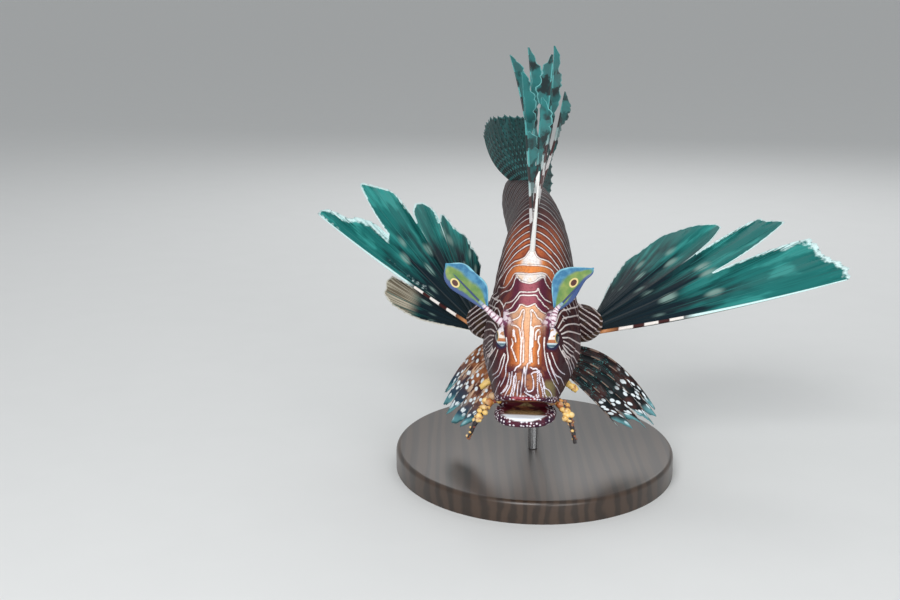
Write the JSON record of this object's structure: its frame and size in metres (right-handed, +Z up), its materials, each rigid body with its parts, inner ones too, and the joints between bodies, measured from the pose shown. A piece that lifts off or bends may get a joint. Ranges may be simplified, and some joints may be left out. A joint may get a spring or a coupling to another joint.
{
  "type": "red lionfish",
  "caption": "Life-size still model of a red lionfish facing the viewer, head down with fanned fins and raised dorsal spines, held over a plain oval base.",
  "frame": {"origin": "middle of the underside of the stand's base", "axes": "+Z up, -Y the way the fish faces, +X the fish's left and the longest way across the spread fins"},
  "size_m": [0.2968, 0.2776, 0.2345],
  "materials": {
    "skin": "soft painted skin, dark red-brown with thin cream stripes",
    "eye": "wet gloss, striped like the head",
    "leaf": "soft blue and yellow-green skin with a dark eyespot",
    "flap": "soft orange skin",
    "dark_fin": "thin dark teal membrane with pale rays and spots",
    "brown_fin": "thin orange-brown membrane with cream spots",
    "spine": "smooth, banded pale and dark",
    "base": "dark stained, satin",
    "rod": "satin"
  },
  "bodies": {
    "root": {"head": "skin", "lower_jaw": "skin", "torso": "skin", "tail": "skin", "gill_cover_left": "skin", "pectoral_base_left": "skin", "eye_left": "eye", "brow_tentacle_left": "leaf", "mouth_tentacle_left": "flap", "cheek_flap_left": "flap", "pectoral_fin_left": "dark_fin", "pelvic_fin_left": "brown_fin", "gill_cover_right": "skin", "pectoral_base_right": "skin", "eye_right": "eye", "brow_tentacle_right": "leaf", "mouth_tentacle_right": "flap", "cheek_flap_right": "flap", "pectoral_fin_right": "dark_fin", "pelvic_fin_right": "brown_fin", "dorsal_spines": "spine", "soft_dorsal_fin": "dark_fin", "anal_fin": "dark_fin", "caudal_fin": "dark_fin", "stand_base": "base", "stand_rod_front": "rod", "stand_rod_rear": "rod"}
  },
  "joints": []
}
